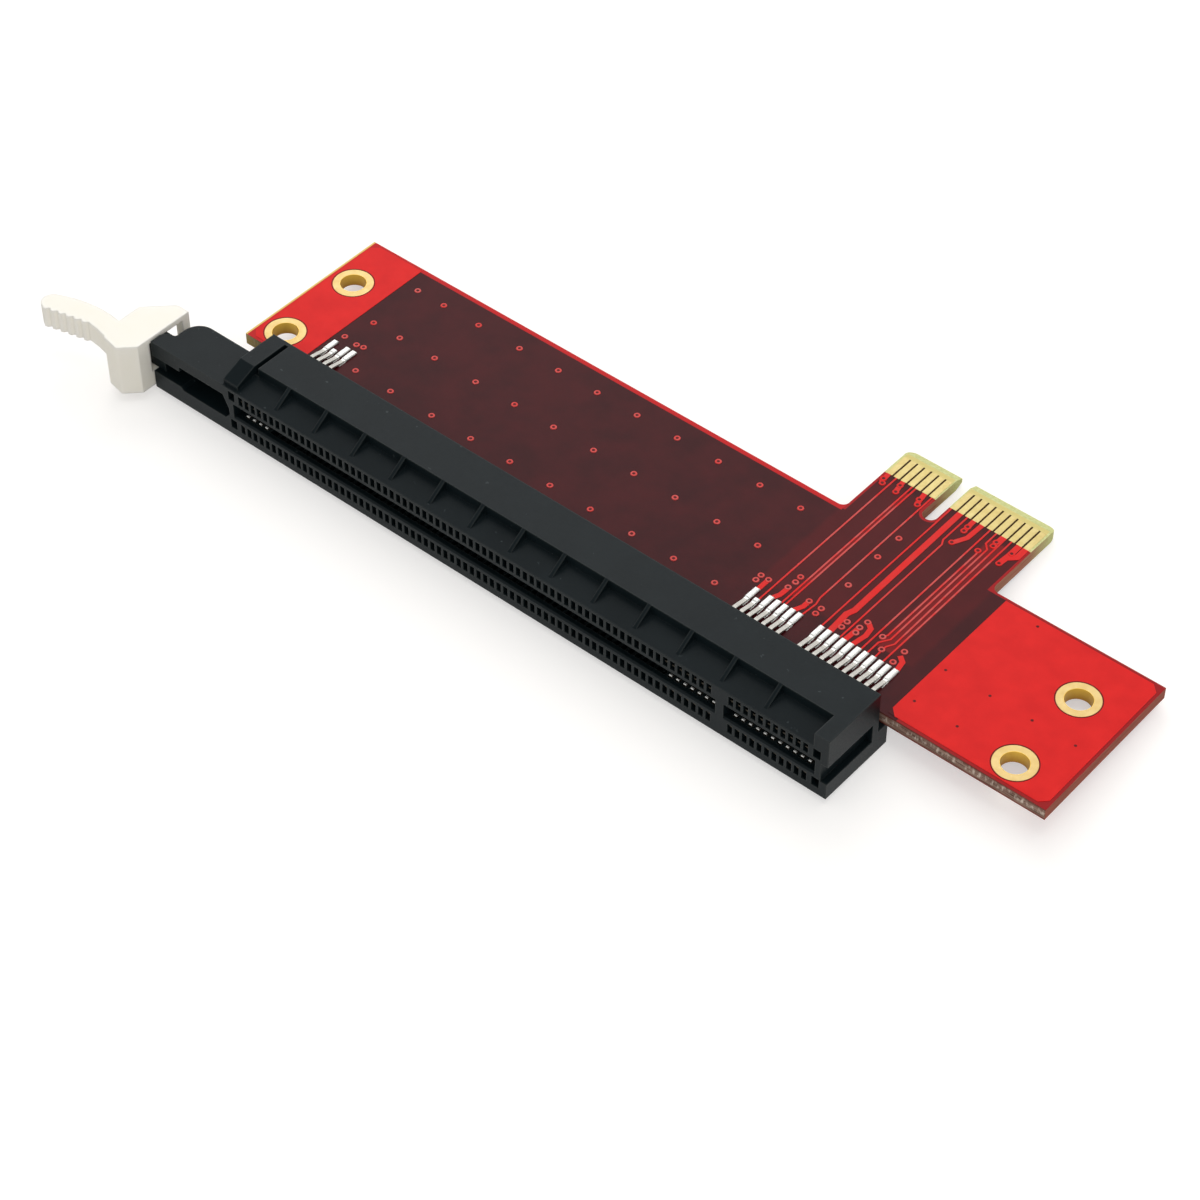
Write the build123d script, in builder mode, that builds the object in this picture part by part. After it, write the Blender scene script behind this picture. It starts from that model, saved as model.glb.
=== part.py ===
from build123d import *
import os

os.makedirs("parts", exist_ok=True)

# Mounting holes with plated rings; the origin is midway between the four, on the board's underside
hole_dx = 106.3
hole_dy = 11.8
hole_r = 1.6
ring_r = 2.5
plating_t = 0.08
barrel_gap = 0.03
ring_gap = 0.06

# Board, measured outward from the rows of holes
board_t = 1.57
left_margin = 3.45
right_margin = 6.15
front_margin = 3.25
back_margin = 7.45
root_r = 0.9
copper_t = 0.04

# Card-edge tab
pitch = 1.0
pin18_x = 16.8
key_extra = 2.0
tab_len = 12.85
tab_side = 0.65
tip_r = 1.0
bevel_len = 1.2
bevel_depth = 0.5
finger_gap = 0.58
finger_len = 3.49
finger_w = 0.76
notch_w = 1.9
notch_depth = 8.5

# Bright fields of mask over copper
field_inset = 0.4
field_left_gap = 0.75
field_right_gap = 2.55
field_chamfer = 0.9

# Slot housing: depths from the board edge, heights from the board's middle plane
slot_pins = 82
house_margin = 3.0
board_gap = 1.32
house_depth = 8.9
nose_depth = 3.35
house_down = 3.865
nose_up = 3.205
floor_up = 3.885
top_up = 5.085
end_block = 2.0
rib_w = 2.3
rib_nose = 0.6
rib_lead = 0.4
gusset_w = 0.5
gusset_pitch = 6.0
gusset_pin = 7
gusset_lead = 0.77
groove_w = 0.6
groove_d = 1.3
groove_wall = 0.5
ear_w = 2.0
ear_reach = 0.45

# Card slot and contact cells, heights from the board's middle plane
slot_h = 1.8
slot_mouth = 0.2
slot_over = 1.35
slot_depth = 7.3
key_w = 1.1
cell_w = 0.66
cell_inner = 1.52
cell_outer = 2.84
bar_y = 0.8
cell_depth = 7.0
end_window = 1.0
end_window_at = 1.5
end_window_depth = 2.5
slit_depth = 0.85
slit_h = 2.7
slit_len = 7.9
slit_drop = 0.25

# Latch clevis on the left end of the housing
clevis_reach = 11.8
clevis_depth = 6.3
lobe_depth = 2.5
lobe_step = 1.6
lobe_r = 1.2
heel_r = 2.3
valley_r = 0.4
throat_wall = 0.9
throat_w = 8.15
throat_h = 3.5
throat_depth = 5.2
throat_low_corner = 0.75
throat_high_corner = 0.9
lane_sill = 0.4
lane_h = 2.4
lane_depth = 2.2

# Latch lever and its pivot
pivot_out = 1.8
pin_r = 0.6
pin_gap = 0.05
pin_len = 1.5
web_r = 1.1
web_set = 0.8
web_root = 1.2
web_down = 1.365
web_up = 2.535
cheek_gap = 0.25
latch_gap = 0.2
latch_over = 0.28
latch_under = 0.18
block_w = 3.5
shoulder = 1.4
neck_set = 2.0
hook_gap = 0.9
hook_reach = 5.6
hook_lead = 1.8
hook_r = 0.5
rear_past = 0.2
rear_r = 0.8
post_w = 1.2
post_d = 1.1
paddle_h = 2.9
paddle_len = 13.5
ridge_count = 6
ridge_h = 0.28

# Spring contacts, pads and runs
contact_w = 0.5
contact_t = 0.2
contact_tip = 0.3
contact_bump = 2.4
contact_heel = 3.9
bump_in = 0.14
bar_clear = 0.06
tail_up = 0.42
tail_drop = 1.45
tail_land = 0.55
foot_short = 0.23
pad_w = 0.7
pad_set = 2.85
pad_len = 3.03
short_pad = 1.25
trace_w = 0.2
stub_w = 0.62
wide_w = 0.75

mid_z = board_t / 2
board_left = -hole_dx / 2 - left_margin
board_right = hole_dx / 2 + right_margin
board_front = -hole_dy / 2 - front_margin
board_back = hole_dy / 2 + back_margin
tip_y = board_back + tab_len
bevel_start = tip_y - bevel_len
finger_end = bevel_start - finger_gap
finger_base = finger_end - finger_len
pad_near = board_front + pad_set
pad_far = pad_near + pad_len


def pin_x(n):
    return pin18_x + (18 - n) * pitch + (key_extra if n < 12 else 0)


back_y = board_front - board_gap
front_y = back_y - house_depth
step_y = front_y + nose_depth
cell_back = front_y + cell_depth
bottom_z = mid_z - house_down
nose_z = mid_z + nose_up
floor_z = mid_z + floor_up
top_z = mid_z + top_up
house_left = pin_x(slot_pins) - house_margin
house_right = pin_x(1) + house_margin
key_x = (pin_x(11) + pin_x(12)) / 2
tab_left = pin_x(18) - tab_side
tab_right = pin_x(1) + tab_side
hole_spots = [(sx * hole_dx / 2, sy * hole_dy / 2) for sx in (-1, 1) for sy in (-1, 1)]
banks = {"a": range(1, 12), "b": range(12, 19), "c": range(slot_pins - 3, slot_pins + 1)}
wired = [n for bank in banks.values() for n in bank]
empty = [n for n in range(1, slot_pins + 1) if n not in wired]
short_pins = (17, slot_pins - 1)

# Board
with BuildPart() as board:
    with BuildSketch():
        with BuildLine():
            Polyline(
                (board_left, board_front),
                (board_right, board_front),
                (board_right, board_back),
                (tab_right, board_back),
                (tab_right, tip_y),
                (tab_left, tip_y),
                (tab_left, board_back),
                (board_left, board_back),
                close=True,
            )
        make_face()
        fillet(vertices().group_by(Axis.Y)[-2].sort_by(Axis.X)[1:3], root_r)
        fillet(vertices().group_by(Axis.Y)[-1], tip_r)
        with Locations((key_x, tip_y - notch_depth / 2 + notch_w / 2)):
            SlotOverall(notch_depth + notch_w, notch_w, rotation=90, mode=Mode.SUBTRACT)
        with Locations(*hole_spots):
            Circle(hole_r + plating_t + barrel_gap, mode=Mode.SUBTRACT)
    extrude(amount=board_t)
    # the insertion bevel on both faces of the card edge
    for face_z, inward in ((board_t, -1), (0, 1)):
        with BuildSketch(Plane.YZ.offset(tab_left)):
            with BuildLine():
                Polyline(
                    (bevel_start, face_z),
                    (tip_y, face_z),
                    (tip_y, face_z + inward * bevel_depth),
                    close=True,
                )
            make_face()
        extrude(amount=tab_right - tab_left, mode=Mode.SUBTRACT)
board.part.label = "board"
export_step(board.part, "parts/board.step")


# Bright mask fields round the mounting holes
def field(name, x_from, x_to, way):
    with BuildPart() as pour:
        with BuildSketch(Plane.XY.offset(board_t)):
            with Locations(((x_from + x_to) / 2, (board_front + board_back) / 2)):
                Rectangle(x_to - x_from, board_back - board_front - 2 * field_inset)
            chamfer(vertices().group_by(Axis.X)[-1 if way > 0 else 0], field_chamfer)
            with Locations(*[spot for spot in hole_spots if spot[0] * way > 0]):
                Circle(ring_r + ring_gap, mode=Mode.SUBTRACT)
        extrude(amount=copper_t)
    pour.part.label = name
    export_step(pour.part, "parts/" + name + ".step")


field("pour_left_top", board_left + field_inset, pin_x(slot_pins) - pad_w / 2 - field_left_gap, -1)
field("pour_right_top", pin_x(1) + pad_w / 2 + field_right_gap, board_right - field_inset, 1)

# Plated barrels of the mounting holes, with a flat ring on both faces
for x, y in hole_spots:
    name = "hole_plating_" + ("front_" if y < 0 else "back_") + ("left" if x < 0 else "right")
    with BuildPart() as plating:
        with BuildSketch(Plane.XZ.offset(-y)):
            with BuildLine():
                Polyline(
                    (x + hole_r, -copper_t),
                    (x + ring_r, -copper_t),
                    (x + ring_r, 0),
                    (x + hole_r + plating_t, 0),
                    (x + hole_r + plating_t, board_t),
                    (x + ring_r, board_t),
                    (x + ring_r, board_t + copper_t),
                    (x + hole_r, board_t + copper_t),
                    close=True,
                )
            make_face()
        revolve(axis=Axis((x, y, 0), (0, 0, 1)))
    plating.part.label = name
    export_step(plating.part, "parts/" + name + ".step")

# Edge fingers and solder pads, upper face then underside
for side, base in (("top", board_t), ("bottom", -copper_t)):
    with BuildPart() as fingers:
        with BuildSketch(Plane.XY.offset(base)):
            with Locations(*[(pin_x(n), (finger_base + finger_end) / 2) for n in range(1, 19)]):
                Rectangle(finger_w, finger_len)
        extrude(amount=copper_t)
    fingers.part.label = "fingers_" + side
    export_step(fingers.part, "parts/fingers_" + side + ".step")

    with BuildPart() as pads:
        with BuildSketch(Plane.XY.offset(base)):
            for n in wired:
                length = pad_len - (short_pad if n in short_pins else 0)
                with Locations((pin_x(n), pad_near + length / 2)):
                    Rectangle(pad_w, length)
        extrude(amount=copper_t)
    pads.part.label = "pads_" + side
    export_step(pads.part, "parts/pads_" + side + ".step")


# Conductor runs: each steps sideways from its pin line on the way from pad to finger
def route(n, width, steps):
    with BuildLine(mode=Mode.PRIVATE) as run:
        Polyline(*[(pin_x(n) + dx, y) for dx, y in steps])
    trace(run.edges(), line_width=width)


with BuildPart() as traces_top:
    with BuildSketch(Plane.XY.offset(board_t)):
        for n, dx in ((15, 0.29), (14, -0.22), (11, -0.22), (6, 0.15), (3, 0.07)):
            route(n, trace_w, [(dx, pad_far), (dx, finger_base)])
        route(17, trace_w, [(0.05, pad_far - short_pad), (0.05, finger_base)])
        route(12, trace_w, [(0.1, pad_far), (0.3, pad_far + 2.3), (0.05, pad_far + 3.4), (0.05, finger_base)])
        route(10, wide_w, [(-0.05, pad_far), (-0.25, pad_far + 3.3), (0.1, pad_far + 4.3), (0, finger_base)])
        route(9, trace_w, [(0.34, pad_far), (0.34, finger_base - 5.4), (0, finger_base - 4.7),
                           (0, finger_base)])
        route(5, trace_w, [(0, pad_far), (0, pad_far + 2.1), (0.75, pad_far + 3.3),
                           (0.68, finger_base - 2.8), (0, finger_base - 2.1), (0, finger_base)])
        route(4, trace_w, [(0, pad_far), (0, pad_far + 2.1), (0.5, pad_far + 3.0), (0.28, finger_base)])
        # a run that joins two vias and touches neither pad nor finger
        route(5, trace_w, [(-0.16, pad_far + 3.1), (0.15, pad_far + 3.6), (0.15, finger_base - 4.1),
                           (-0.02, finger_base - 3.6)])
        # wide stubs that drop to the inner planes, first at the pads and then at the fingers
        route(18, stub_w, [(0, pad_far), (0, pad_far + 2.0)])
        route(16, stub_w, [(0, pad_far), (0.4, pad_far + 0.9), (0.45, pad_far + 2.5)])
        route(13, stub_w, [(-0.05, pad_far), (0.45, pad_far + 1.1), (0.45, pad_far + 2.3)])
        route(8, stub_w, [(-0.05, pad_far), (0.1, pad_far + 2.8)])
        route(7, stub_w, [(0, pad_far), (0.35, pad_far + 2.0), (0.15, pad_far + 3.2), (-0.65, pad_far + 3.8)])
        route(1, stub_w, [(0, pad_far), (-0.25, pad_far + 1.4), (-1.0, pad_far + 2.0)])
        route(18, stub_w, [(0.05, finger_base - 1.6), (-0.05, finger_base)])
        route(16, stub_w, [(0.3, finger_base - 1.9), (0, finger_base)])
        route(13, stub_w, [(0.35, finger_base - 2.0), (0.05, finger_base)])
        route(8, stub_w, [(-0.05, finger_base - 2.1), (-0.1, finger_base)])
        route(7, stub_w, [(-0.9, finger_base - 4.3), (-0.1, finger_base - 2.7), (0, finger_base)])
        route(4, stub_w, [(-0.18, finger_base - 2.0), (-0.1, finger_base)])
        route(2, wide_w, [(-0.05, finger_base - 3.7), (0.1, finger_base - 1.9), (0.1, finger_base)])
        route(1, wide_w, [(-0.9, finger_base - 2.5), (-0.05, finger_base - 1.7), (-0.05, finger_base)])
    extrude(amount=copper_t)
traces_top.part.label = "traces_top"
export_step(traces_top.part, "parts/traces_top.step")

with BuildPart() as traces_bottom:
    with BuildSketch(Plane.XY.offset(-copper_t)):
        for n in (5, 6, 7, 8, 11, 13, 14, 16, 17):
            route(n, trace_w, [(0, pad_far - (short_pad if n in short_pins else 0)), (0, finger_base)])
        for n in (2, 3, 9, 10):
            route(n, wide_w, [(0, pad_far), (0, finger_base)])
    extrude(amount=copper_t)
traces_bottom.part.label = "traces_bottom"
export_step(traces_bottom.part, "parts/traces_bottom.step")


# Spring contacts: tip over the front bar, bump in the slot, tail down to its pad
def spring(bank, side, pins):
    way = 1 if side == "top" else -1
    foot = mid_z + copper_t + contact_t / 2
    bump = slot_h / 2 - bump_in
    lean = (cell_inner + contact_t / 2 + bar_clear - bump) / (contact_bump - bar_y)
    path = [
        (front_y + contact_tip, bump + lean * (contact_bump - contact_tip)),
        (front_y + contact_bump, bump),
        (front_y + contact_heel, mid_z + tail_up),
        (pad_near + tail_land - tail_drop, mid_z + tail_up),
        (pad_near + tail_land, foot),
    ]
    with BuildPart() as springs:
        for n in pins:
            end = pad_far - foot_short - (short_pad if n in short_pins else 0)
            with BuildSketch(Plane.YZ.offset(pin_x(n) - contact_w / 2)):
                with BuildLine():
                    run = path + [(end, foot)]
                    upper = [(y, mid_z + way * (z + contact_t / 2)) for y, z in run]
                    lower = [(y, mid_z + way * (z - contact_t / 2)) for y, z in reversed(run)]
                    Polyline(*upper, *lower, close=True)
                make_face()
            extrude(amount=contact_w)
    name = "contacts_" + side + "_" + bank
    springs.part.label = name
    export_step(springs.part, "parts/" + name + ".step")


for side in ("top", "bottom"):
    for bank, pins in banks.items():
        spring(bank, side, pins)

clevis_left = house_left - clevis_reach
clevis_back = front_y + clevis_depth
throat_right = house_left + throat_wall
throat_left = throat_right - throat_w
throat_low = mid_z - throat_h / 2
throat_high = mid_z + throat_h / 2
lane_low = throat_low + lane_sill
pivot_x = clevis_left - pivot_out
pivot_y = front_y + web_set + web_r
web_low = mid_z - web_down
web_high = mid_z + web_up

# Slot housing
with BuildPart() as housing:
    with BuildSketch(Plane.YZ.offset(house_left)):
        with BuildLine():
            Polyline(
                (front_y, bottom_z),
                (front_y, nose_z),
                (step_y, floor_z),
                (step_y, top_z),
                (back_y, top_z),
                (back_y, bottom_z),
                close=True,
            )
        make_face()
    extrude(amount=house_right - house_left)
    # full-height block at the right end
    with BuildSketch(Plane.YZ.offset(house_right - end_block)):
        with Locations(((front_y + back_y) / 2, (bottom_z + top_z) / 2)):
            Rectangle(house_depth, top_z - bottom_z)
    extrude(amount=end_block)
    # stout sloping rib at the left end, then the triangular gussets behind the nose
    gusset_first = pin_x(gusset_pin) - gusset_w / 2
    gusset_count = int((gusset_first - house_left) / gusset_pitch)
    gussets = [gusset_first - k * gusset_pitch for k in range(gusset_count)]
    wedges = [(house_left, rib_w, rib_lead, rib_nose)]
    wedges += [(x, gusset_w, gusset_lead, 0) for x in gussets]
    for x, width, lead, rise in wedges:
        with BuildSketch(Plane.YZ.offset(x)):
            with BuildLine():
                Polyline(
                    (step_y, nose_z),
                    (step_y, top_z),
                    (front_y + lead, nose_z + rise + (floor_z - nose_z) * lead / nose_depth),
                    (front_y + lead, nose_z),
                    close=True,
                )
            make_face()
        extrude(amount=width)
    # ears that carry the board edge from below
    for x in (house_left, house_right - ear_w):
        with BuildSketch(Plane.XY.offset(bottom_z)):
            with Locations((x + ear_w / 2, (back_y + board_front + ear_reach) / 2)):
                Rectangle(ear_w, board_front + ear_reach - back_y)
        extrude(amount=-bottom_z)
    # latch clevis with its two rounded lobes
    with BuildSketch(Plane.XY.offset(bottom_z)):
        with BuildLine():
            Polyline(
                (house_left, front_y),
                (clevis_left, front_y),
                (clevis_left, front_y + lobe_depth),
                (clevis_left + lobe_step, front_y + lobe_depth),
                (clevis_left + lobe_step, clevis_back),
                (house_left, clevis_back),
                close=True,
            )
        make_face()
        lobes = vertices().sort_by(Axis.Y)
        fillet([v for v in lobes[2:4] if v.X < clevis_left + lobe_step / 2], lobe_r)
        fillet(vertices().group_by(Axis.Y)[-1].sort_by(Axis.X)[0], heel_r)
        fillet([v for v in vertices() if abs(v.X - clevis_left - lobe_step) < 0.001
                and abs(v.Y - front_y - lobe_depth) < 0.001], valley_r)
    extrude(amount=nose_z - bottom_z)
    # throat for the card's retention hook, then the lane beside it
    with BuildSketch(Plane.XZ.offset(-front_y)):
        with BuildLine():
            Polyline(
                (throat_left + lane_sill, throat_low),
                (throat_right - throat_low_corner, throat_low),
                (throat_right, throat_low + throat_low_corner),
                (throat_right, throat_high - 2 * throat_high_corner),
                (throat_right - throat_high_corner, throat_high),
                (throat_left, throat_high),
                (throat_left, lane_low),
                close=True,
            )
        make_face()
    extrude(amount=-throat_depth, mode=Mode.SUBTRACT)
    with BuildSketch(Plane.XZ.offset(-front_y)):
        with Locations(((clevis_left + throat_left) / 2, lane_low + lane_h / 2)):
            Rectangle(throat_left - clevis_left, lane_h)
    extrude(amount=-lane_depth, mode=Mode.SUBTRACT)
    # web, set back from the front, that reaches between the latch cheeks and holds the pivot
    with BuildSketch(Plane.XY.offset(web_low)):
        with Locations((pivot_x, pivot_y)):
            Circle(web_r)
        with Locations(((pivot_x + clevis_left + web_root) / 2, pivot_y)):
            Rectangle(clevis_left + web_root - pivot_x, 2 * web_r)
        with Locations((pivot_x, pivot_y)):
            Circle(pin_r + pin_gap, mode=Mode.SUBTRACT)
    extrude(amount=web_high - web_low)
    # card slot in two lengths, parted by the key
    slot_ends = (
        (pin_x(slot_pins) - slot_over, key_x - key_w / 2),
        (key_x + key_w / 2, pin_x(1) + slot_over),
    )
    for x_from, x_to in slot_ends:
        with BuildSketch(Plane.YZ.offset(x_from)):
            with BuildLine():
                Polyline(
                    (front_y, mid_z - slot_h / 2 - slot_mouth),
                    (front_y + slot_mouth, mid_z - slot_h / 2),
                    (front_y + slot_depth, mid_z - slot_h / 2),
                    (front_y + slot_depth, mid_z + slot_h / 2),
                    (front_y + slot_mouth, mid_z + slot_h / 2),
                    (front_y, mid_z + slot_h / 2 + slot_mouth),
                    close=True,
                )
            make_face()
        extrude(amount=x_to - x_from, mode=Mode.SUBTRACT)
    # contact cells: each has a window in the nose above the front bar
    with BuildSketch(Plane.XZ.offset(-front_y)):
        cells = [(pin_x(n), mid_z + way * (cell_inner + cell_outer) / 2)
                 for n in range(1, slot_pins + 1) for way in (-1, 1)]
        with Locations(*cells):
            Rectangle(cell_w, cell_outer - cell_inner)
    extrude(amount=-cell_depth, mode=Mode.SUBTRACT)
    # behind the bar the wired cells open into the slot one by one, the empty ones along a shared relief
    reliefs = [(pin_x(n), cell_w) for n in wired]
    reliefs.append(((pin_x(empty[0]) + pin_x(empty[-1])) / 2, pin_x(empty[0]) - pin_x(empty[-1]) + cell_w))
    with BuildSketch(Plane.XZ.offset(-front_y - bar_y)):
        for x, width in reliefs:
            for way in (-1, 1):
                with Locations((x, mid_z + way * (slot_h / 2 + cell_inner) / 2)):
                    Rectangle(width, cell_inner - slot_h / 2)
    extrude(amount=bar_y - cell_depth, mode=Mode.SUBTRACT)
    # square windows past both ends of the two rows
    with BuildSketch(Plane.XZ.offset(-front_y)):
        for x in (pin_x(1) + end_window_at, pin_x(slot_pins) - end_window_at):
            for way in (-1, 1):
                with Locations((x, mid_z + way * (cell_inner + cell_outer) / 2)):
                    Rectangle(end_window, cell_outer - cell_inner)
    extrude(amount=-end_window_depth, mode=Mode.SUBTRACT)
    # slits in the back wall that grip the tails, one for each bank and row
    with BuildSketch(Plane.XZ.offset(-cell_back)):
        for pins in banks.values():
            for way in (-1, 1):
                with Locations(((pin_x(pins[0]) + pin_x(pins[-1])) / 2, mid_z + way * (mid_z + tail_up))):
                    Rectangle(pin_x(pins[0]) - pin_x(pins[-1]) + contact_w, contact_t)
    extrude(amount=cell_back - back_y, mode=Mode.SUBTRACT)
    # guide slit in the right end face
    with BuildSketch(Plane.YZ.offset(house_right)):
        with Locations((front_y + slit_len / 2, mid_z - slit_drop)):
            Rectangle(slit_len, slit_h)
    extrude(amount=-slit_depth, mode=Mode.SUBTRACT)
    # relief groove in the top beside the left rib
    with BuildSketch(Plane.XY.offset(top_z)):
        with Locations((house_left + rib_w + groove_w / 2, (step_y + back_y - groove_wall) / 2)):
            Rectangle(groove_w, back_y - groove_wall - step_y)
    extrude(amount=-groove_d, mode=Mode.SUBTRACT)
housing.part.label = "slot_housing"
export_step(housing.part, "parts/slot_housing.step")

# Retention latch, one moulding: two cheeks, hook block, rear post, pivot pins and thumb paddle
latch_low = bottom_z + latch_under
latch_high = nose_z + latch_over
latch_face = clevis_left - latch_gap
latch_rear = clevis_back + rear_past
latch_left = pivot_x - block_w
hook_back = pivot_y - web_r - hook_gap
hook_y = pivot_y - hook_reach
paddle_low = latch_high - paddle_h
ridge_from = (latch_left - 2.6, hook_y + 1.2)
ridge_to = (pivot_x - paddle_len + 0.9, hook_y - 0.33)
with BuildPart() as latch:
    with BuildSketch(Plane.XY.offset(latch_low)):
        with BuildLine():
            Polyline(
                (latch_left + 0.6, hook_y + 0.5),
                (latch_face - hook_lead, hook_y),
                (latch_face, hook_y + hook_lead),
                (latch_face, latch_rear),
                (latch_face - hook_lead, latch_rear),
                (latch_left, pivot_y + shoulder),
                (latch_left, pivot_y - neck_set),
                close=True,
            )
        make_face()
        fillet(vertices().sort_by(Axis.Y)[:2], hook_r)
        fillet(vertices().group_by(Axis.Y)[-1].sort_by(Axis.X)[0], rear_r)
    extrude(amount=latch_high - latch_low)
    # thumb paddle: ridged front, rounded tip and a long swept back
    with BuildSketch(Plane.XY.offset(paddle_low)):
        with BuildLine():
            teeth = []
            for k in range(ridge_count):
                for along, out in ((0.1, 0), (0.3, ridge_h), (0.7, ridge_h), (0.9, 0)):
                    part = (k + along) / ridge_count
                    x = ridge_from[0] + (ridge_to[0] - ridge_from[0]) * part
                    y = ridge_from[1] + (ridge_to[1] - ridge_from[1]) * part
                    teeth.append((x, y - out))
            neck = (latch_left + 1, hook_y + 0.6)
            back = (latch_left + 0.4, pivot_y - neck_set)
            heel = (ridge_to[0] - 0.2, ridge_to[1] + 2.5)
            Polyline(neck, (latch_left - 1, hook_y + 1), *teeth, ridge_to)
            ThreePointArc(ridge_to, (pivot_x - paddle_len, ridge_to[1] + 1), heel)
            ThreePointArc(heel, ((heel[0] + back[0]) / 2, (heel[1] + back[1]) / 2 + 0.8), back)
            Line(back, neck)
        make_face()
    extrude(amount=latch_high - paddle_low)
    # space between the cheeks, open to both sides behind the hook
    with BuildSketch(Plane.XY.offset(web_low - cheek_gap)):
        with BuildLine():
            Polyline(
                (latch_left - 2, hook_back),
                (latch_face, hook_back),
                (latch_face, latch_rear - post_d),
                (latch_face - post_w, latch_rear - post_d),
                (latch_face - post_w, latch_rear),
                (latch_left - 2, latch_rear),
                close=True,
            )
        make_face()
    extrude(amount=web_high - web_low + 2 * cheek_gap, mode=Mode.SUBTRACT)
    # pivot pins on the inner faces of the cheeks
    for z, up in ((web_low - cheek_gap, 1), (web_high + cheek_gap, -1)):
        with BuildSketch(Plane.XY.offset(z)):
            with Locations((pivot_x, pivot_y)):
                Circle(pin_r)
        extrude(amount=up * pin_len)
latch.part.label = "latch"
export_step(latch.part, "parts/latch.step")
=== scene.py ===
import bpy
import bmesh
from mathutils import Matrix, Vector


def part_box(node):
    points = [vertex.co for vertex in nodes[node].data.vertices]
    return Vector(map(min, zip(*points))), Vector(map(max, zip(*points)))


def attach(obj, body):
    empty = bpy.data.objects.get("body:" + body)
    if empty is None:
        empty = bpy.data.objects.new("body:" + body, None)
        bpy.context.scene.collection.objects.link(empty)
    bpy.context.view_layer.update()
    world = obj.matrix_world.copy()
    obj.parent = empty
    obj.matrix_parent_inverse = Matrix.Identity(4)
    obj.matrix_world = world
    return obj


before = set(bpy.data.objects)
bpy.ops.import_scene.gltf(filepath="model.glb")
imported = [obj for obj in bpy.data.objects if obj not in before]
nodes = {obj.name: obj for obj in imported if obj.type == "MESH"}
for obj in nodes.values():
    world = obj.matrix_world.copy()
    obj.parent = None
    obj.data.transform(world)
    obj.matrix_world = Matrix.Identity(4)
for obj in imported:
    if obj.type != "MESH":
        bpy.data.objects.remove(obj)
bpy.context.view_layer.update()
scene = bpy.context.scene
mm = 0.001
pitch = 1.0 * mm  # from one contact to the next
white = (1.0, 1.0, 1.0, 1.0)
boardLow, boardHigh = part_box("board")
fingerLow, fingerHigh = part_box("fingers_top")
padLow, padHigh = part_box("pads_top")
ringLow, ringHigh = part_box("hole_plating_back_right")
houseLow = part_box("slot_housing")[0]
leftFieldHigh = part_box("pour_left_top")[1]
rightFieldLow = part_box("pour_right_top")[0]
print("frame loaded:", len(nodes), "nodes")


def ink(red, green, blue):  # screen colour to the linear values that shaders take
    return tuple(((c / 255 + 0.055) / 1.055) ** 2.4 for c in (red, green, blue)) + (1.0,)


class Wire:  # one output socket, so that shader maths reads as plain sums
    def __init__(self, tree, socket):
        self.tree = tree
        self.socket = socket

    def add(self, kind, settings, sockets, out=0):
        node = self.tree.nodes.new(kind)
        for key, value in settings.items():
            setattr(node, key, value)
        for key, value in sockets.items():
            if isinstance(value, Wire):
                self.tree.links.new(value.socket, node.inputs[key])
            else:
                node.inputs[key].default_value = value
        return Wire(self.tree, node.outputs[out])

    def out(self, name):  # another output of the same node
        return Wire(self.tree, self.socket.node.outputs[name])

    def feed(self, wires):  # into the sockets of the node that this output is on
        for key, wire in wires.items():
            self.tree.links.new(wire.socket, self.socket.node.inputs[key])

    def math(self, operation, first, second):
        return self.add("ShaderNodeMath", {"operation": operation}, {0: first, 1: second})

    def mix(self, low, high):  # a Mix node keeps its colours in sockets 6 and 7, and gives output 2
        return self.add("ShaderNodeMix", {"data_type": "RGBA"}, {0: self, 6: low, 7: high}, 2)

    def noise(self, scale, detail):
        return self.add("ShaderNodeTexNoise", {}, {"Vector": self, "Scale": scale, "Detail": detail}, "Fac")

    def ramp(self, low, high):  # 0 up to low, 1 from high on
        return self.add("ShaderNodeMapRange", {}, {"Value": self, "From Min": low, "From Max": high})

    def within(self, low, high):
        return (self > low) * (self < high)

    def stretch(self, along, across, up):
        return self.add("ShaderNodeVectorMath", {"operation": "MULTIPLY"}, {0: self, 1: (along, across, up)})

    def axes(self, names):
        spot = self.add("ShaderNodeSeparateXYZ", {}, {0: self})
        return [spot.out(name) for name in names]

    def __add__(self, other):
        return self.math("ADD", self, other)

    def __sub__(self, other):
        return self.math("SUBTRACT", self, other)

    def __rsub__(self, other):
        return self.math("SUBTRACT", other, self)

    def __mul__(self, other):
        return self.math("MULTIPLY", self, other)

    def __gt__(self, other):
        return self.math("GREATER_THAN", self, other)

    def __lt__(self, other):
        return self.math("LESS_THAN", self, other)

    def __or__(self, other):
        return self.math("MAXIMUM", self, other)

    def __and__(self, other):
        return self.math("MINIMUM", self, other)

    def __abs__(self):
        return self.math("ABSOLUTE", self, 0.0)

    __radd__ = __add__
    __rmul__ = __mul__
    __ror__ = __or__
    __rand__ = __and__


def startFinish(name, fixed):  # fixed: what is the same all over the surface
    finish = bpy.data.materials.new(name)
    finish.use_nodes = True
    shader = Wire(finish.node_tree, finish.node_tree.nodes["Principled BSDF"].outputs[0])
    for key, value in fixed.items():
        shader.socket.node.inputs[key].default_value = value
    return finish, shader


def placeOn(shader):
    return shader.add("ShaderNodeTexCoord", {}, {}, "Object")


def bumpFrom(height, strength, depth, under=None):  # under: the normal that the bump lies on
    sockets = {"Height": height, "Strength": strength, "Distance": depth}
    if under:
        sockets["Normal"] = under
    return height.add("ShaderNodeBump", {}, sockets)


def softBox(x, y, sides, ends, soft):  # 1 inside, fading to 0 over the soft width
    across = x.ramp(sides[0] - soft, sides[0]) * (1 - x.ramp(sides[1], sides[1] + soft))
    along = y.ramp(ends[0] - soft, ends[0]) * (1 - y.ramp(ends[1], ends[1] + soft))
    return across * along


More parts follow.
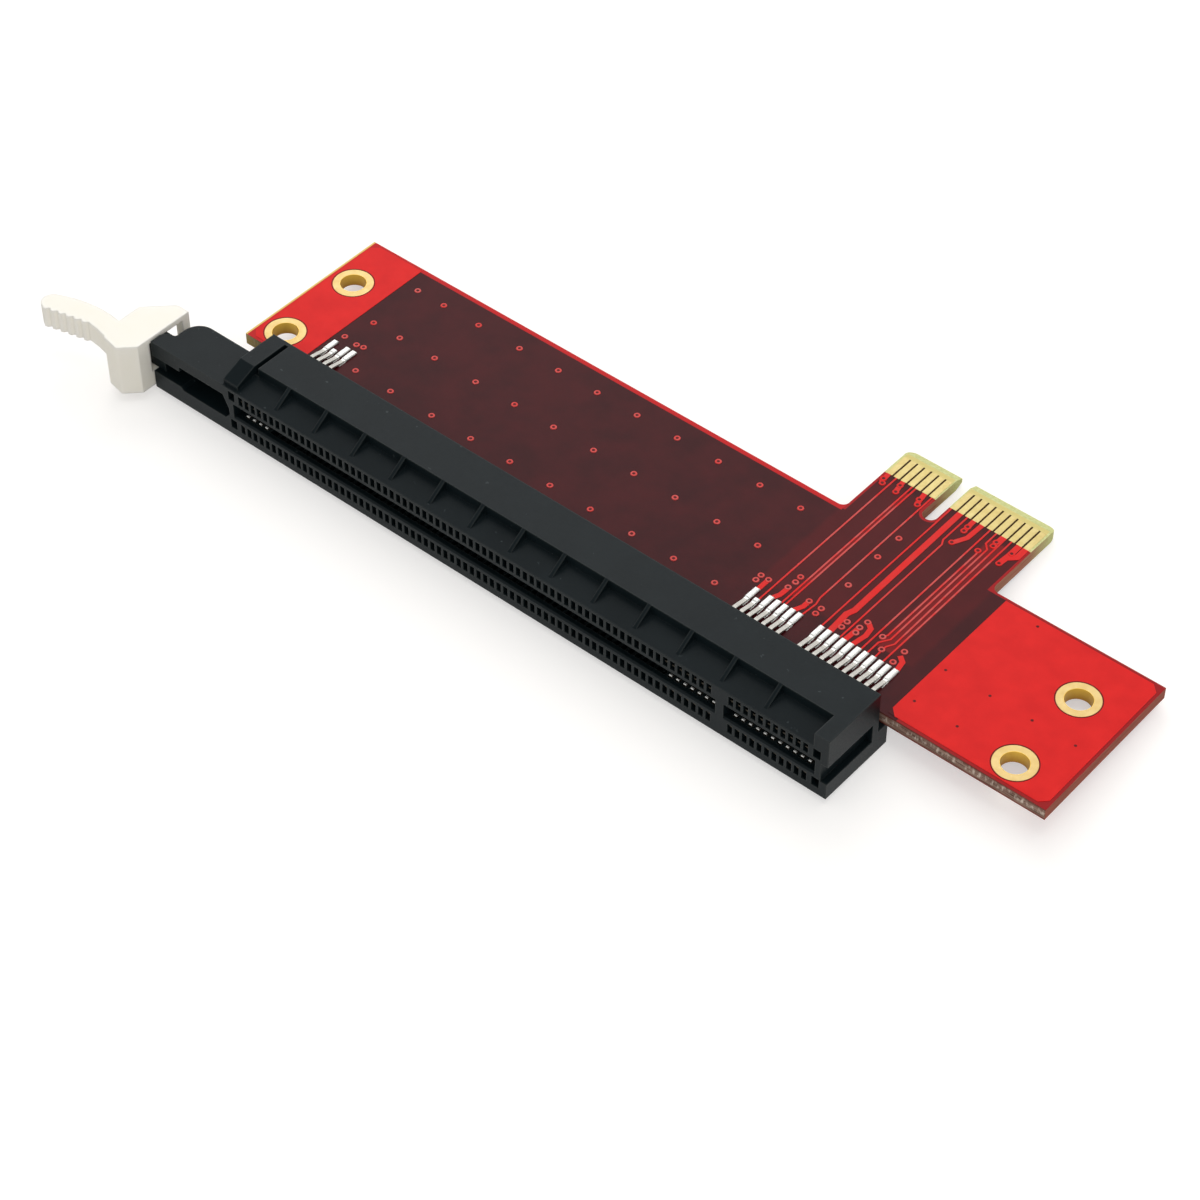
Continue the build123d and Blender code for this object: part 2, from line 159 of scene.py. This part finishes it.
# board: dark mask with a bright rim, bare laminate round the fingers, cut glass layers at the edges
boardLook = {
    "mask": ink(70, 16, 20), "maskDeep": ink(58, 13, 17), "cloud": (260, 4), "cloudSpan": (0.35, 0.7),
    "shine": 0.085, "rough": 0.3, "roughWeave": 0.12, "roughCut": 0.3, "bump": 0.1, "bumpDepth": 0.02 * mm,
    "skin": 0.03 * mm, "tabMargin": 0.27 * mm, "fieldInset": 0.4 * mm, "fieldCorner": 1.4 * mm,
    "keyAlong": 7.88 * mm, "notchHalf": 0.95 * mm, "notchRound": 2.28 * mm,
    # bright rim, and mask that is warmer beside the bunch of runs, the close pair and over the tab
    "rim": ink(190, 24, 27), "rimEnd": ink(152, 22, 24), "rimTab": ink(160, 20, 24),
    "rimBack": 0.62 * mm, "rimSide": 0.32 * mm, "rimNotch": 0.36 * mm,
    "warm": ink(136, 20, 21), "warmEnds": (-1.5 * mm, 19.6 * mm), "warmTab": 0.12, "softTab": 0.6 * mm,
    "bunch": (31.9 * mm, 33.9 * mm), "warmBunch": 0.65, "softBunch": 0.3 * mm,
    "pair": (20.14 * mm, 20.54 * mm), "warmPair": 0.8, "softPair": 0.15 * mm,
    # laminate round the fingers
    "bare": ink(195, 197, 128), "barePale": ink(214, 216, 156), "weave": (3200, 2), "weaveSpan": (0.3, 0.7),
    "gap": ink(62, 42, 2), "band": ink(214, 198, 124), "fingerClear": 1.12 * mm, "bevelFrom": 0.58 * mm,
    # cut edges
    "core": ink(168, 138, 122), "coreDark": ink(96, 72, 62), "coreSpan": (0.35, 0.65),
    "coreEnd": ink(166, 96, 78), "coreEndDark": ink(136, 76, 62), "coreTab": ink(176, 140, 112),
    "layers": (5200, 2), "layerStretch": (0.06, 0.06, 1.0), "layerSpan": (0.3, 0.7),
    "fibres": (2400, 3), "fibreStretch": (1.0, 1.0, 0.4), "fibreSpan": (0.5, 0.66),
    "corePale": ink(214, 196, 180), "speckles": (0.62 * mm, 1.22 * mm),
    "coreSkin": ink(112, 50, 40), "skinDepth": 0.42 * mm,
    "edge": ink(226, 196, 112), "edgeCut": ink(232, 212, 164), "edgeLeft": 0.24 * mm, "edgeFade": 5.0 * mm,
}
shoulder = leftFieldHigh.y + boardLook["fieldInset"]  # back edge of the board on both sides of the tab
tabLeft = fingerLow.x - boardLook["tabMargin"]
tabRight = fingerHigh.x + boardLook["tabMargin"]
keyMid = fingerLow.x + boardLook["keyAlong"]
notchMid = fingerLow.y - boardLook["notchRound"]  # where the notch begins to round off
rightField = rightFieldLow.x + boardLook["fieldCorner"]


def maskFace(look, place):
    x, y, z = place.axes("XYZ")
    face = place.noise(*look["cloud"]).ramp(*look["cloudSpan"]).mix(look["mask"], look["maskDeep"])
    bunch = softBox(x, y, look["bunch"], look["warmEnds"], look["softBunch"]) * look["warmBunch"]
    pair = softBox(x, y, look["pair"], look["warmEnds"], look["softPair"]) * look["warmPair"]
    tab = softBox(x, y, (tabLeft, tabRight), look["warmEnds"], look["softTab"]) * look["warmTab"]
    face = (bunch | pair | tab).mix(face, look["warm"])

    fromKey = x - keyMid
    below = (y - notchMid) & 0.0
    nearNotch = (fromKey * fromKey + below * below) < (look["notchHalf"] + look["rimNotch"]) ** 2
    tabSides = (x < tabLeft + look["rimSide"]) | (x > tabRight - look["rimSide"])
    tabEdge = tabSides * (y > shoulder - look["rimSide"])
    face = (nearNotch | tabEdge).mix(face, look["rimTab"])
    backEdge = (y > shoulder - look["rimBack"]) * (x < tabLeft)
    besideField = (x < leftFieldHigh.x) | (x > rightField)
    face = (backEdge | besideField).mix(face, look["rim"])
    face = ((x > rightField) * (z > boardLow.z + look["skin"])).mix(face, look["rimEnd"])
    return (x < boardLow.x + look["edgeLeft"]).mix(face, look["edge"])


def fingerGround(look, place, laminate):  # dark gaps between the fingers, a pale band past their ends
    x, y = place.axes("XY")
    fromKey = x - keyMid
    between = x.within(fingerLow.x, fingerHigh.x) * ((fromKey * fromKey) > look["fingerClear"] ** 2)
    return between.mix(laminate, (y > fingerHigh.y).mix(look["gap"], look["band"]))


def cutEdge(look, place, laminate):  # glass layers between two darker skins, paler at the tab and left end
    x, y, z = place.axes("XYZ")
    layers = place.stretch(*look["layerStretch"]).noise(*look["layers"])
    soft = layers.ramp(*look["layerSpan"])
    fibres = place.stretch(*look["fibreStretch"]).noise(*look["fibres"]).ramp(*look["fibreSpan"])
    core = layers.ramp(*look["coreSpan"]).mix(look["coreDark"], look["core"])
    lowSpeckle, highSpeckle = look["speckles"]
    speckled = z.ramp(look["skinDepth"], lowSpeckle) * (1 - z.ramp(highSpeckle, boardHigh.z))
    core = (fibres * speckled).mix(core, look["corePale"])
    lowSkin = 1 - z.ramp(boardLow.z, boardLow.z + look["skinDepth"])
    highSkin = z.ramp(boardHigh.z - look["skinDepth"], boardHigh.z)
    core = (lowSkin | highSkin).mix(core, look["coreSkin"])

    rightEnd = x > boardHigh.x - look["skin"]
    core = rightEnd.mix(core, soft.mix(look["coreEndDark"], look["coreEnd"]))
    frontLeft = (1 - x.ramp(boardLow.x, boardLow.x + look["edgeFade"])) * (y < boardLow.y + look["skin"])
    leftEnd = frontLeft | (x < boardLow.x + look["skin"])
    core = leftEnd.mix(core, soft.mix(look["edgeCut"], look["edge"]))
    bevelStart = fingerHigh.y + look["bevelFrom"]
    tab = y.ramp(fingerLow.y, bevelStart).mix(soft.mix(look["coreEnd"], look["coreTab"]), laminate)
    core = (y > shoulder + look["rimSide"]).mix(core, tab)
    return (y > bevelStart).mix(core, laminate)


def boardFinish(name, look):
    finish, shader = startFinish(name, {"Specular IOR Level": look["shine"]})
    place = placeOn(shader)
    y, z = place.axes("YZ")
    weave = place.noise(*look["weave"])
    laminate = weave.ramp(*look["weaveSpan"]).mix(look["bare"], look["barePale"])
    face = (y > fingerLow.y).mix(maskFace(look, place), fingerGround(look, place, laminate))
    cut = z.within(boardLow.z + look["skin"], boardHigh.z - look["skin"])
    shader.feed({
        "Base Color": cut.mix(face, cutEdge(look, place, laminate)),
        "Roughness": look["rough"] + weave * look["roughWeave"] + cut * look["roughCut"],
        "Normal": bumpFrom(weave, look["bump"], look["bumpDepth"]),
    })
    return finish


# bright mask over copper: fields round the holes, and the thinner runs and lands
copperLook = {
    "field": ink(222, 30, 27), "fieldDeep": ink(211, 24, 23),
    # the paler run colour is a painted highlight for the thin runs
    "run": ink(214, 46, 43), "runHighlight": ink(204, 82, 78),
    "via": ink(214, 62, 58), "viaPale": ink(208, 92, 88),
    "hole": ink(104, 26, 28), "dimple": ink(84, 16, 18),
    "outline": ink(96, 16, 16), "outlineEnd": 2.66 * mm, "corner": 0.9 * mm,
    "thinLeft": (14.0 * mm, 24.0 * mm), "thinRight": (28.8 * mm, 36.0 * mm),
    "thinEnds": (2.0 * mm, 16.5 * mm), "thinSoft": 1.0 * mm, "thinPatch": (700, 2), "thinSpan": (0.3, 0.55),
    "cloud": (420, 4), "cloudSpan": (0.3, 0.7), "fine": (3800, 2),
    "shine": 0.085, "rough": 0.3, "roughFine": 0.12, "bump": 0.08, "bumpDepth": 0.02 * mm,
}
holeMid = (ringLow + ringHigh) / 2  # the other three screw holes mirror this one about X and Y


def fromHole(place):  # squared distance to the middle of the nearest screw hole
    x, y = place.axes("XY")
    along = abs(x) - holeMid.x
    across = abs(y) - holeMid.y
    return along * along + across * across


def fieldMarks(look, place, paint):  # dark line round the rings, and the cut corner of the right field
    x, y = place.axes("XY")
    paint = (fromHole(place) < look["outlineEnd"] ** 2).mix(paint, look["outline"])
    corner = ((x + y) < rightFieldLow.x + rightFieldLow.y + look["corner"]) * (x > 0.0)
    return corner.mix(paint, boardLook["mask"])


def runHighlights(look, place, paint):  # painted highlight: the thin runs are painted paler than the broad ones, in patches
    x, y = place.axes("XY")
    left = softBox(x, y, look["thinLeft"], look["thinEnds"], look["thinSoft"])
    right = softBox(x, y, look["thinRight"], look["thinEnds"], look["thinSoft"])
    patches = place.noise(*look["thinPatch"]).ramp(*look["thinSpan"])
    return ((left | right) * patches).mix(paint, look["runHighlight"])


def copperFinish(name, look, colour, other, marks=None):
    finish, shader = startFinish(name, {"Specular IOR Level": look["shine"]})
    place = placeOn(shader)
    fine = place.noise(*look["fine"])
    paint = place.noise(*look["cloud"]).ramp(*look["cloudSpan"]).mix(look[colour], look[other])
    if marks:
        paint = marks(look, place, paint)
    shader.feed({
        "Base Color": paint,
        "Roughness": look["rough"] + fine * look["roughFine"],
        "Normal": bumpFrom(fine, look["bump"], look["bumpDepth"]),
    })
    return finish


# metals: gold fingers and rings with painted shade down the ring walls, tinned feet, and springs painted dark
# as shade where the housing shades them
metalLook = {
    "cloud": (900, 4), "cloudSpan": (0.3, 0.75), "fine": (2600, 3),
    "roughFine": 0.2, "bump": 0.05, "bumpDepth": 0.015 * mm,
}
fingerLook = {"bright": ink(205, 188, 128), "worn": ink(194, 173, 108), "rough": 0.36, "metallic": 0.7}
ringLook = {
    "bright": ink(216, 190, 130), "worn": ink(204, 172, 106), "rough": 0.34, "metallic": 0.7,
    # the wall colours are painted shade and reflection down the hole
    "wall": ink(236, 196, 80), "wallPaintedShade": ink(166, 118, 36), "wallEnd": 1.64 * mm,
}
tinLook = {
    "bright": ink(238, 238, 234), "worn": ink(214, 214, 210), "rough": 0.3, "metallic": 0.6,
    # the first colour is painted shade for the springs inside the housing
    "paintedShade": ink(62, 56, 46), "tail": ink(180, 177, 170), "tailFrom": -0.2 * mm, "tailTo": 0.85 * mm,
    "crestFrom": 0.94 * mm, "crestTo": 1.21 * mm,
}


def ringWallShade(look, place, paint):  # painted shade and reflection: the wall of the hole is painted deeper gold, darker towards the lower face
    z = place.axes("Z")[0]
    wall = z.ramp(boardLow.z, boardHigh.z).mix(look["wallPaintedShade"], look["wall"])
    return (fromHole(place) < look["wallEnd"] ** 2).mix(paint, wall)


def springMarks(look, place, paint):  # grey along the bent tails, painted shade inside the housing
    y = place.axes("Y")[0]
    paint = (y < padLow.y + look["tailTo"]).mix(paint, look["tail"])
    # painted shade: springs inside the housing are painted dark
    return (y < boardLow.y + look["tailFrom"]).mix(paint, look["paintedShade"])


def crestMarks(look, place, paint):  # tin colour only round the top of the bend, painted shade elsewhere
    y = place.axes("Y")[0]
    bright = y.within(houseLow.y + look["crestFrom"], houseLow.y + look["crestTo"])
    return bright.mix(look["paintedShade"], paint)


def metalFinish(name, look, marks=None):
    finish, shader = startFinish(name, {"Metallic": look["metallic"]})
    place = placeOn(shader)
    fine = place.noise(*metalLook["fine"])
    cloud = place.noise(*metalLook["cloud"]).ramp(*metalLook["cloudSpan"])
    paint = cloud.mix(look["bright"], look["worn"])
    if marks:
        paint = marks(look, place, paint)
    shader.feed({
        "Base Color": paint,
        "Roughness": look["rough"] + fine * metalLook["roughFine"],
        "Normal": bumpFrom(fine, metalLook["bump"], metalLook["bumpDepth"]),
    })
    return finish


# mouldings: faint clouds and dust, softly rounded corners, and convex edges painted paler as a painted
# highlight
mouldLook = {
    "cloud": (180, 5), "cloudSpan": (0.35, 0.8), "specks": (1300, 2), "speckSpan": (0.72, 0.78),
    "fine": (4200, 3), "roughFine": 0.2, "bumpDepth": 0.02 * mm,
    "highlightSpan": (0.5, 0.95), "highlightReach": 2, "highlightSamples": 8, "edgeSamples": 6,
}
blackLook = {
    "colour": ink(12, 21, 24), "pale": ink(18, 27, 30), "dust": ink(48, 55, 57), "paintedHighlight": ink(42, 47, 47),
    "shine": 0.13, "rough": 0.32, "bump": 0.2, "edge": 0.1 * mm,
}
ivoryLook = {
    "colour": ink(249, 245, 232), "pale": ink(250, 247, 238), "dust": ink(244, 239, 224),
    "paintedHighlight": ink(251, 248, 240), "shine": 0.16, "rough": 0.38, "bump": 0.06, "edge": 0.3 * mm,
}


def mouldFinish(name, look):
    finish, shader = startFinish(name, {"Specular IOR Level": look["shine"]})
    place = placeOn(shader)
    fine = place.noise(*mouldLook["fine"])
    cloud = place.noise(*mouldLook["cloud"]).ramp(*mouldLook["cloudSpan"])
    specks = place.noise(*mouldLook["specks"]).ramp(*mouldLook["speckSpan"])
    paint = specks.mix(cloud.mix(look["colour"], look["pale"]), look["dust"])
    # painted highlight: convex edges, found by occlusion inside the moulding, are painted paler
    inward = {"samples": mouldLook["highlightSamples"], "inside": True, "only_local": True}
    reach = {"Distance": look["edge"] * mouldLook["highlightReach"]}
    paintedHighlight = 1 - place.add("ShaderNodeAmbientOcclusion", inward, reach, "AO").ramp(*mouldLook["highlightSpan"])
    rounded = place.add("ShaderNodeBevel", {"samples": mouldLook["edgeSamples"]}, {"Radius": look["edge"]})
    shader.feed({
        "Base Color": paintedHighlight.mix(paint, look["paintedHighlight"]),
        "Roughness": look["rough"] + fine * mouldLook["roughFine"],
        "Normal": bumpFrom(fine, look["bump"], mouldLook["bumpDepth"], rounded),
    })
    return finish


viaMask = copperFinish("viaMask", copperLook, "via", "viaPale")
viaHole = copperFinish("viaHole", copperLook, "hole", "dimple")
stubMask = copperFinish("stubMask", copperLook, "run", "field")
dimpleDark = copperFinish("dimpleDark", copperLook, "dimple", "hole")
tinPlate = metalFinish("tinPlate", tinLook)
crestTin = metalFinish("crestTin", tinLook, crestMarks)
nodeFinishes = {  # by the first letters of the node's name
    "board": boardFinish("boardMask", boardLook),
    "pour": copperFinish("fieldMask", copperLook, "field", "fieldDeep", fieldMarks),
    "traces": copperFinish("runMask", copperLook, "run", "field", runHighlights),
    "fingers": metalFinish("fingerGold", fingerLook),
    "hole_plating": metalFinish("ringGold", ringLook, ringWallShade),
    "pads": tinPlate,
    "contacts": metalFinish("springTin", tinLook, springMarks),
    "slot_housing": mouldFinish("blackMould", blackLook),
    "latch": mouldFinish("ivoryMould", ivoryLook),
}
for name, node in nodes.items():
    for start, finish in nodeFinishes.items():
        if name.startswith(start):
            node.data.materials.clear()
            node.data.materials.append(finish)
print("nodes dressed in", len(nodeFinishes), "finishes")


def addPiece(name, shape, finishes):
    mesh = bpy.data.meshes.new(name)
    bmesh.ops.recalc_face_normals(shape, faces=shape.faces)
    shape.to_mesh(mesh)
    shape.free()
    for finish in finishes:
        mesh.materials.append(finish)
    piece = bpy.data.objects.new(name, mesh)
    scene.collection.objects.link(piece)
    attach(piece, "card")


# via lands: raised red rings with dark centres, on both faces because the vias go through
viaLook = {
    "ring": 0.42 * mm, "top": 0.378 * mm, "hole": 0.2 * mm, "rise": 0.08 * mm, "sink": 0.02 * mm, "sides": 14,
    # each row's place in mm, with the column that it starts at
    "rows": {-5.58: 1, 2.1: 0, 9.93: 0},
    "columns": (-46.2, -41.93, -36.3, -29.77, -23.66, -17.63, -11.54, -5.5, 0.6, 6.67, 12.53),
    # single ones in mm, most of them near the slot's pads
    "singles": (
        (-47.12, -1.95), (-45.02, -2.14), (-44.06, -1.95), (15.73, -2.27), (15.73, -1.34), (16.8, -1.37),
        (19.16, -0.89), (19.3, 0.27), (19.24, 1.27), (22.24, -1.07), (23.95, -1.12), (23.93, -2.12),
        (24.02, 3.68), (27.33, -0.9), (27.34, -1.91), (28.9, -0.7), (29.04, -1.61), (29.1, 0.49),
        (31.64, -0.2), (34.74, -2.5), (34.78, -0.47), (32.68, -1.8), (23.9, 13.19), (23.85, 9.31),
    ),
    # those at the base of the fingers, which have the red of the runs
    "stubs": (
        (16.75, 19.92), (17.08, 19.23), (18.89, 20.2), (19.13, 19.03), (21.92, 19.74), (22.25, 18.93),
        (28.71, 19.67), (28.74, 18.89), (28.78, 16.52), (32.59, 19.74), (32.67, 19.01), (31.78, 17.33),
        (34.95, 19.35), (34.74, 17.2),
    ),
}


def buildVias(look, side, base, up):
    shape = bmesh.new()
    finishes = [viaMask, viaHole, stubMask]
    inRows = [(x, y) for y, first in look["rows"].items() for x in look["columns"][first:]]
    turn = Matrix.Diagonal((1, up, up, 1))  # half a turn about X for the lower face
    for x, y in inRows + list(look["singles"]) + list(look["stubs"]):
        centre = Matrix.Translation((x * mm, y * mm, base + up * look["rise"] / 2))
        made = bmesh.ops.create_cone(
            shape, cap_ends=True, segments=look["sides"], radius1=look["ring"], radius2=look["top"],
            depth=look["rise"], matrix=centre @ turn)
        faces = dict.fromkeys(face for vert in made["verts"] for face in vert.link_faces)  # each face once
        for face in faces:
            face.material_index = finishes.index(stubMask if (x, y) in look["stubs"] else viaMask)
        cap = max(faces, key=lambda face: face.normal.z * up)
        bmesh.ops.inset_region(shape, faces=[cap], thickness=look["top"] - look["hole"])
        bmesh.ops.translate(shape, verts=cap.verts[:], vec=(0, 0, -up * look["sink"]))
        cap.material_index = finishes.index(viaHole)
    addPiece("via_lands_" + side, shape, finishes)


# dimples: small dark dots where the mask dips into the vias of the right field
dimpleLook = {
    "base": 0.24 * mm, "top": 0.168 * mm, "rise": 0.05 * mm, "sides": 10,
    "spots": (
        (39.78, 0.2), (45.6, 0.2), (51.06, 0.2), (56.6, 0.2), (39.9, -5.62), (45.5, -5.62), (43.6, 11.95),
    ),
}


def buildDimples(look):
    shape = bmesh.new()
    for x, y in look["spots"]:
        centre = Matrix.Translation((x * mm, y * mm, boardHigh.z + look["rise"] / 2))
        bmesh.ops.create_cone(
            shape, cap_ends=True, segments=look["sides"], radius1=look["base"], radius2=look["top"],
            depth=look["rise"], matrix=centre)
    addPiece("field_dimples", shape, [dimpleDark])


# contacts stand in three banks: first pin, last pin, and where a pin 0 would be in that bank, in pitches
contactBanks = ((1, 11, 36.8), (12, 18, 34.8), (79, 82, 34.8))
pinPlaces = {}
for first, last, start in contactBanks:
    for pin in range(first, last + 1):
        pinPlaces[pin] = (start - pin) * pitch

# solder: a crowned bar over each foot, on both faces
solderLook = {
    "wide": 0.7 * mm, "long": 1.92 * mm, "high": 0.32 * mm, "round": 0.13 * mm, "segments": 3,
    "shortBy": 1.25 * mm, "shortPins": (17, 81),
}


def buildSolder(look, side, base, up):
    shape = bmesh.new()
    for pin, x in pinPlaces.items():
        less = look["shortBy"] if pin in look["shortPins"] else 0
        long = look["long"] - less
        size = Matrix.Diagonal((look["wide"], long, look["high"], 1))
        middle = Matrix.Translation((x, padHigh.y - less - long / 2, base + up * look["high"] / 2))
        made = bmesh.ops.create_cube(shape, size=1, matrix=middle @ size)
        edges = dict.fromkeys(edge for vert in made["verts"] for edge in vert.link_edges)  # each edge once
        crown = [e for e in edges if all((v.co.z - base) * up > look["high"] / 2 for v in e.verts)]
        bmesh.ops.bevel(
            shape, geom=crown, offset=look["round"], segments=look["segments"], profile=0.5,
            affect="EDGES", material=-1)
    for face in shape.faces:
        face.smooth = True
    addPiece("solder_" + side, shape, [tinPlate])


# crests: the bent strip of each spring just behind the front bar, where a card first touches
crestLook = {
    "wide": 0.36 * mm, "thick": 0.1 * mm,
    # each bend's distance from the housing's front and from the slot's middle, in mm
    "bends": ((0.87, 1.6), (0.92, 0.84), (1.0, 0.73), (1.12, 0.71), (1.25, 0.77), (1.75, 1.1)),
}


def buildCrests(look, side, up):
    shape = bmesh.new()
    middle = (boardLow.z + boardHigh.z) / 2
    for x in pinPlaces.values():
        left = x - look["wide"] / 2
        line = [shape.verts.new((left, houseLow.y + y * mm, middle + up * z * mm)) for y, z in look["bends"]]
        edges = [shape.edges.new(pair) for pair in zip(line, line[1:])]
        made = bmesh.ops.extrude_edge_only(shape, edges=edges)["geom"]
        far = [item for item in made if isinstance(item, bmesh.types.BMVert)]
        bmesh.ops.translate(shape, verts=far, vec=(look["wide"], 0, 0))
    bmesh.ops.recalc_face_normals(shape, faces=shape.faces)
    bmesh.ops.solidify(shape, geom=shape.faces[:], thickness=look["thick"])
    addPiece("contact_crests_" + side, shape, [crestTin])


buildVias(viaLook, "top", boardHigh.z, 1)
buildVias(viaLook, "bottom", boardLow.z, -1)
buildDimples(dimpleLook)
buildSolder(solderLook, "top", boardHigh.z, 1)
buildSolder(solderLook, "bottom", boardLow.z, -1)
buildCrests(crestLook, "top", 1)
buildCrests(crestLook, "bottom", -1)
print("via lands, dimples, solder and contact crests made")

# floor: a pale sheet just under the two lines that the object lies on, one in front and one at the back
floorLook = {
    "colour": (0.62, 0.6, 0.575, 1.0), "glow": 0.48, "size": 1.6, "gap": 0.02 * mm,
    "restFront": Vector((0, -8.7 * mm, houseLow.z)), "restBack": Vector((0, 25.0 * mm, boardLow.z)),
}


def buildFloor(look):
    side = Vector((1, 0, 0))
    along = (look["restBack"] - look["restFront"]).normalized()
    up = side.cross(along)
    turn = Matrix((side, along, up)).transposed().to_4x4()
    middle = Matrix.Translation(look["restFront"] - up * look["gap"])
    shape = bmesh.new()
    bmesh.ops.create_grid(shape, x_segments=1, y_segments=1, size=look["size"], matrix=middle @ turn)
    mesh = bpy.data.meshes.new("floor")
    shape.to_mesh(mesh)
    shape.free()
    matt = {"Base Color": look["colour"], "Roughness": 1.0, "Specular IOR Level": 0.0}
    finish, shader = startFinish("paleFloor", matt)
    ray = shader.add("ShaderNodeLightPath", {}, {}, "Is Camera Ray")
    seen = ray | ray.out("Is Glossy Ray")
    glow = ray.add("ShaderNodeEmission", {}, {"Color": white, "Strength": seen * look["glow"]})
    both = ray.add("ShaderNodeAddShader", {}, {0: shader, 1: glow})
    both.tree.links.new(both.socket, both.tree.nodes["Material Output"].inputs["Surface"])
    mesh.materials.append(finish)
    floor = bpy.data.objects.new("floor", mesh)
    scene.collection.objects.link(floor)


# room: even light, with a sky that darkens overhead where the camera and reflections see it
roomLook = {"strength": 0.6, "lowSky": 0.2, "highSky": 0.85, "zenith": 0.15}


def lightRoom(look):
    room = bpy.data.worlds.new("room")
    scene.world = room
    room.use_nodes = True
    tree = room.node_tree
    even = Wire(tree, tree.nodes["Background"].outputs[0])
    even.socket.node.inputs["Strength"].default_value = look["strength"]
    even.socket.node.inputs["Color"].default_value = white
    height = even.add("ShaderNodeTexCoord", {}, {}, "Generated").axes("Z")[0]
    sky = 1 - height.ramp(look["lowSky"], look["highSky"]) * (1 - look["zenith"])
    shown = even.add("ShaderNodeBackground", {}, {"Color": white, "Strength": sky})
    ray = even.add("ShaderNodeLightPath", {}, {}, "Is Camera Ray")
    seen = ray | ray.out("Is Glossy Ray") | ray.out("Is Transmission Ray")
    both = even.add("ShaderNodeMixShader", {}, {0: seen, 1: even, 2: shown})
    tree.links.new(both.socket, tree.nodes["World Output"].inputs["Surface"])


# lamps: square softboxes that face the frame's origin, with places and sizes in metres
lampLook = {
    "back": {"place": (-0.32, 0.38, 0.5), "size": 0.5, "watts": 1.75},
    "overhead": {"place": (0.08, 0.02, 0.7), "size": 0.4, "watts": 0.86},
    "side": {"place": (0.35, -0.4, 0.4), "size": 0.4, "watts": 0.6},
}


def hangLamps(lamps):
    for name, look in lamps.items():
        light = bpy.data.lights.new(name, "AREA")
        light.size = look["size"]
        light.energy = look["watts"]
        lamp = bpy.data.objects.new(name, light)
        lamp.location = look["place"]
        lamp.rotation_euler = Vector(look["place"]).to_track_quat("Z", "Y").to_euler()
        scene.collection.objects.link(lamp)


# camera: stands where the photograph was taken from
cameraLook = {
    "place": Vector((162.44, -201.91, 251.42)) * mm, "aim": Vector((4.6, -15.78, 1.57)) * mm,
    "lens": 95.38, "sensor": 36.0, "clipStart": 0.01, "clipEnd": 10,
}


def setCamera(look):
    data = bpy.data.cameras.new("camera")
    data.lens = look["lens"]
    data.sensor_width = look["sensor"]
    data.sensor_fit = "HORIZONTAL"
    data.clip_start = look["clipStart"]
    data.clip_end = look["clipEnd"]
    camera = bpy.data.objects.new("camera", data)
    camera.location = look["place"]
    camera.rotation_euler = (look["place"] - look["aim"]).to_track_quat("Z", "Y").to_euler()
    scene.collection.objects.link(camera)
    scene.camera = camera


buildFloor(floorLook)
lightRoom(roomLook)
hangLamps(lampLook)
setCamera(cameraLook)
scene.view_settings.view_transform = "Standard"
print("floor, room, lamps and camera set")
